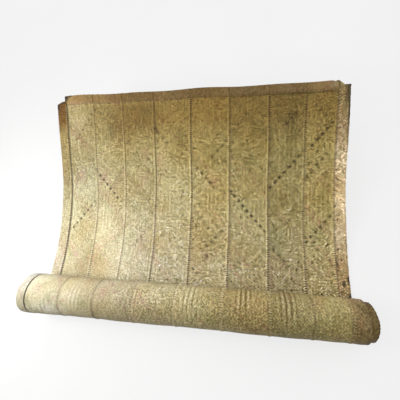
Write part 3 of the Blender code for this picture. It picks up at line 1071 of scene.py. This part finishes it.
def leaf_material(name, tones):
    """Plaited palm leaf: each strand has its own tone, with fibres along it, flecks, painted shade in the
    gaps between floats, and stains.
    """
    material, tree, surface = new_material(name)
    leaf = add_node(tree, "ShaderNodeSeparateXYZ", {0: attribute_node(tree, "leaf").outputs["Vector"]})
    fields = ("lean", "grain", "relief", "dirt_and_shade")
    lean, grain, relief, dirt_and_shade = [attribute_node(tree, field).outputs["Fac"] for field in fields]
    tint = attribute_node(tree, "tint").outputs["Vector"]
    cloth = add_node(tree, "ShaderNodeUVMap", uv_map="Cloth").outputs["UV"]

    angle = math_node(tree, "MULTIPLY", lean, math.atan2(CELL_X, CELL_Y))
    turn_inputs = {"Vector": cloth, "Angle": angle}
    turned = add_node(tree, "ShaderNodeVectorRotate", turn_inputs, rotation_type="Z_AXIS").outputs[0]
    along = add_node(tree, "ShaderNodeMapping", {"Vector": turned, "Scale": FIBRE_STRETCH}).outputs[0]
    fibres = noise_node(tree, along, FIBRES, "2D")
    flecks = noise_node(tree, cloth, FLECKS, "2D")
    stains = noise_node(tree, cloth, STAINS, "2D")

    colour = ramp_node(tree, leaf.outputs["X"], tones)
    greener = math_node(tree, "MULTIPLY", leaf.outputs["Y"], GREEN_SHARE)
    colour = mix_colours(tree, "MIX", greener, colour, linear(*GREEN_LEAF))
    pinker = math_node(tree, "MULTIPLY", leaf.outputs["Z"], PINK_SHARE)
    colour = mix_colours(tree, "MIX", pinker, colour, linear(*PINK_LEAF))
    shaded = ((1.0, fibres, FIBRE_SHADES), (grain, flecks, FLECK_SHADES), (1.0, relief, GAP_PAINTED_SHADE))
    for share, factor, shades in (*shaded, (1.0, stains, STAIN_TONES)):
        colour = mix_colours(tree, "MULTIPLY", share, colour, ramp_node(tree, factor, shades))
    colour = mix_colours(tree, "MULTIPLY", 1.0, colour, tint)
    # Darkened by dirt and by painted shade: at the seams, in the eyelets, along the hem's line and down part
    # of the right edge
    unmarked = math_node(tree, "POWER", math_node(tree, "SUBTRACT", 1.0, dirt_and_shade), DARKNESS_GAMMA)
    colour = mix_colours(tree, "MIX", unmarked, linear(*DIRT_AND_SHADE_COLOUR), colour)
    tree.links.new(colour, surface.inputs["Base Color"])

    least, most = LEAF_ROUGHNESS
    rough = add_node(tree, "ShaderNodeMapRange", {0: fibres, 3: least, 4: most}).outputs[0]
    tree.links.new(rough, surface.inputs["Roughness"])
    bump_inputs = {"Height": fibres, "Distance": FIBRE_BUMP, "Strength": BUMP_STRENGTH}
    tree.links.new(add_node(tree, "ShaderNodeBump", bump_inputs).outputs[0], surface.inputs["Normal"])
    surface.inputs["Specular IOR Level"].default_value = LEAF_SPECULAR
    return material


def stitch_material():
    """Pale split leaf, a little darker in places."""
    material, tree, surface = new_material("stitch_leaf")
    where = add_node(tree, "ShaderNodeTexCoord").outputs["Object"]
    patches = noise_node(tree, where, STITCH_PATCHES, "3D")
    tint = attribute_node(tree, "tint").outputs["Vector"]
    colour = mix_colours(tree, "MULTIPLY", 1.0, ramp_node(tree, patches, STITCH_TONES), tint)
    tree.links.new(colour, surface.inputs["Base Color"])
    surface.inputs["Roughness"].default_value = STITCH_ROUGHNESS
    return material


def stitch_run(number, first, last, shape, width_share, points, tints, faces):
    """Add a row of whip stitches over one seam, each a flat strand that slants across it."""
    ring = np.arange(STITCH_SIDES) * math.tau / STITCH_SIDES
    offset, height = np.array(shape).T
    flush = shape[-1][1]
    height = flush + (height - flush) * SEAM_LOOKS[number][2]
    slant = np.linspace(-0.5, 0.5, len(offset)) * STITCH_SLANT
    for index in range(int((last - first) / STITCH_PITCH)):
        jitter = STITCH_JITTER * (hashed(index, number, 7) - 0.5)
        middle = first + (index + 0.5 + jitter) * STITCH_PITCH
        x = seam_at(number, middle) + offset
        spread = STITCH_LEAST_WIDTH + STITCH_SPREAD * hashed(index, number, 8)
        width = width_share * STITCH_HALF_WIDTH * spread
        length = middle + slant[:, None] + width * np.cos(ring)[None, :]
        above = height[:, None] + STITCH_HALF_HEIGHT * np.sin(ring)[None, :]
        start = len(points)
        points.extend(cloth_points(x[:, None], length, above).reshape(-1, 3))
        tint = cloth_tint(max(number, 1), x[:1], np.array([middle]), np.zeros(1))
        tints.extend(np.repeat(tint, len(offset) * STITCH_SIDES, axis=0))
        for step in range(len(offset) - 1):
            near = start + step * STITCH_SIDES
            far = near + STITCH_SIDES
            for side in range(STITCH_SIDES):
                after = (side + 1) % STITCH_SIDES
                faces.append((near + side, near + after, far + after, far + side))
        faces.append(tuple(start + side for side in reversed(range(STITCH_SIDES))))
        faces.append(tuple(start + (len(offset) - 1) * STITCH_SIDES + side for side in range(STITCH_SIDES)))


def build_stitches(number, material):
    """One seam's stitches: in front, behind, and behind on the roll, where the left border has none."""
    points, tints, faces = [], [], []
    end = float(cloth_end(max(number, 1), STATIONS[number + 1])) - STITCH_END
    if number == 0:
        end = min(end, LEFT_BORDER_END - BORDER_END_GAP)
    rows = [(STITCH_FRONT_START, end, FRONT_STITCH, 1.0)]
    if number > 0:
        rows.append((*ROLL_STITCHES, BACK_STITCH, BACK_WIDTH))
    rows.append((STITCH_BACK_START, end, BACK_STITCH, BACK_WIDTH))
    for row in rows:
        stitch_run(number, *row, points, tints, faces)
    piece = new_piece(f"stitches_{number + 1}", points, faces, material)
    set_attribute(piece.data, "tint", "FLOAT_VECTOR", "POINT", np.array(tints))
    return piece


def build_cloth():
    """Every strip and border as one sheet, loose end and wound part together, with its seam's stitches."""
    leaf = leaf_material("plaited_leaf", LEAF_TONES)
    binding = leaf_material("border_leaf", BORDER_TONES)
    stitch = stitch_material()
    borders = {0: ("border_left", LEFT_BORDER_END), LAST: ("border_right", RIGHT_BORDER_END)}
    for number in range(LAST + 1):
        border = number in borders
        node, top = borders.get(number, (f"strip_{number}", LOOSE_LENGTH))
        parts = [sheet_part(number, top, -WOUND_LENGTH if border else -FINE_DEPTH, 1)]
        if not border:
            parts.append(sheet_part(number, -FINE_DEPTH - INNER_GAP, -WOUND_LENGTH, INNER_COARSENESS))
        piece = join_parts(f"{node}_plait", parts, binding if border else leaf)
        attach(piece, "root")
        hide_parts(node, "roll")
        if number < LAST:
            stitches = build_stitches(number, stitch)
            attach(stitches, "root")


def build_stage():
    """A pale paper floor, just under the mat."""
    bpy.ops.mesh.primitive_plane_add(size=FLOOR_SIZE, location=(0.0, 0.0, -FLOOR_DROP))
    floor = bpy.context.object
    floor.name = "floor"
    material, tree, surface = new_material("floor_paper")
    where = add_node(tree, "ShaderNodeTexCoord").outputs["Object"]
    grain = noise_node(tree, where, FLOOR_GRAIN, "3D")
    tree.links.new(ramp_node(tree, grain, FLOOR_SHADES), surface.inputs["Base Color"])
    surface.inputs["Roughness"].default_value = FLOOR_ROUGHNESS
    surface.inputs["Emission Color"].default_value = grey(1.0)
    surface.inputs["Emission Strength"].default_value = FLOOR_GLOW
    floor.data.materials.append(material)


def build_sky():
    """A soft room: brighter from above and from behind the mat, and plain where the camera sees it."""
    world = bpy.data.worlds.new("soft_room")
    world.use_nodes = True
    tree = world.node_tree
    background = tree.nodes["Background"]
    direction = add_node(tree, "ShaderNodeTexCoord").outputs["Generated"]
    way = add_node(tree, "ShaderNodeSeparateXYZ", {0: direction}).outputs
    sky = ramp_node(tree, way["Z"], SKY_SHADES)
    least, most = SKY_FRONT_TO_BACK
    from_back = add_node(tree, "ShaderNodeMapRange", {0: way["Y"], 1: -1.0, 2: 1.0, 3: least, 4: most})
    sky = mix_colours(tree, "MULTIPLY", 1.0, sky, from_back.outputs[0])
    seen = add_node(tree, "ShaderNodeLightPath").outputs["Is Camera Ray"]
    tree.links.new(mix_colours(tree, "MIX", seen, sky, grey(SKY_SEEN)), background.inputs["Color"])
    background.inputs["Strength"].default_value = SKY_STRENGTH
    bpy.context.scene.world = world


def build_window():
    """A small soft light from the left."""
    light = bpy.data.lights.new("window", "AREA")
    light.shape = "DISK"
    light.size = WINDOW_SIZE
    light.energy = WINDOW_POWER
    light.color = WINDOW_COLOUR
    lamp = bpy.data.objects.new("window", light)
    lamp.location = WINDOW_PLACE
    aim = Vector(WINDOW_TARGET) - Vector(WINDOW_PLACE)
    lamp.rotation_euler = aim.to_track_quat("-Z", "Y").to_euler()
    bpy.context.scene.collection.objects.link(lamp)


def build_camera():
    """The photograph's camera."""
    camera = bpy.data.cameras.new("camera")
    camera.sensor_width = SENSOR_WIDTH
    camera.lens = SENSOR_WIDTH * FOCAL_PIXELS / PHOTO_PIXELS
    camera.shift_x, camera.shift_y = SHIFT
    viewer = bpy.data.objects.new("camera", camera)
    turn = Vector([math.radians(value) for value in CAMERA_TURN_DEG])
    viewer.matrix_world = Matrix.Translation(CAMERA_PLACE) @ Matrix.Rotation(turn.length, 4, turn)
    bpy.context.scene.collection.objects.link(viewer)
    bpy.context.scene.camera = viewer


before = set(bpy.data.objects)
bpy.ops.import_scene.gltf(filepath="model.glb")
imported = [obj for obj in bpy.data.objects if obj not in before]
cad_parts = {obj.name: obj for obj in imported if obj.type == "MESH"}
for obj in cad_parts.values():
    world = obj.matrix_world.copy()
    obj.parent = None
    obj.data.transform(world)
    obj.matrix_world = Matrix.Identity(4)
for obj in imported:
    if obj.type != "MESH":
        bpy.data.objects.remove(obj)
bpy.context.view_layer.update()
bpy.context.scene.view_settings.view_transform = "Standard"
build_camera()
build_stage()
build_sky()
build_window()
build_cloth()
bpy.context.view_layer.update()
